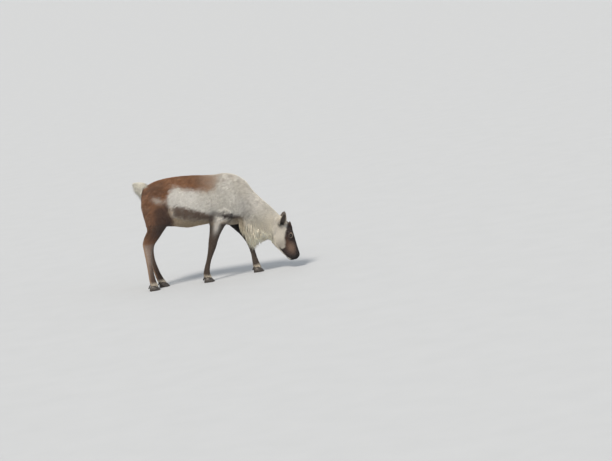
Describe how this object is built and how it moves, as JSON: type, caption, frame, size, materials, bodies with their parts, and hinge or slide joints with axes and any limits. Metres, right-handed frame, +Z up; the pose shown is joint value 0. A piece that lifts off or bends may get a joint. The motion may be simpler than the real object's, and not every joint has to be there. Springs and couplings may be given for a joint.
{
  "type": "grazing reindeer",
  "caption": "Life-size reindeer standing with its neck lowered to graze, one forefoot ahead, with a pale throat mane, dark legs and shed antlers, still as in a museum.",
  "frame": {"origin": "on the floor, below the middle of the animal's length and width", "axes": "+X from the tail towards the head, +Y to the animal's left, +Z up"},
  "size_m": [1.5081, 0.3648, 1.0694],
  "materials": {
    "body_coat": "thick winter hair, chestnut above and pale grey on the flank",
    "neck_coat": "long pale cream-grey hair",
    "head_coat": "short dark brown hair",
    "ear_coat": "short grey hair",
    "tail_hair": "long white hair",
    "leg_coat": "short dark brown hair",
    "antler_bud": "velvet skin",
    "eye": "wet and dark",
    "hoof": "black horn, slightly worn"
  },
  "bodies": {
    "root": {"torso": "body_coat", "neck": "neck_coat", "head": "head_coat", "tail": "tail_hair", "ear_right": "ear_coat", "eye_right": "eye", "antler_bud_right": "antler_bud", "ear_left": "ear_coat", "eye_left": "eye", "antler_bud_left": "antler_bud", "leg_front_right_upper": "leg_coat", "leg_front_right_lower": "leg_coat", "claw_outer_front_right": "hoof", "dewclaw_outer_front_right": "hoof", "claw_inner_front_right": "hoof", "dewclaw_inner_front_right": "hoof", "leg_front_left_upper": "leg_coat", "leg_front_left_lower": "leg_coat", "claw_outer_front_left": "hoof", "dewclaw_outer_front_left": "hoof", "claw_inner_front_left": "hoof", "dewclaw_inner_front_left": "hoof", "leg_hind_right_upper": "leg_coat", "leg_hind_right_lower": "leg_coat", "claw_outer_hind_right": "hoof", "dewclaw_outer_hind_right": "hoof", "claw_inner_hind_right": "hoof", "dewclaw_inner_hind_right": "hoof", "leg_hind_left_upper": "leg_coat", "leg_hind_left_lower": "leg_coat", "claw_outer_hind_left": "hoof", "dewclaw_outer_hind_left": "hoof", "claw_inner_hind_left": "hoof", "dewclaw_inner_hind_left": "hoof"}
  },
  "joints": []
}
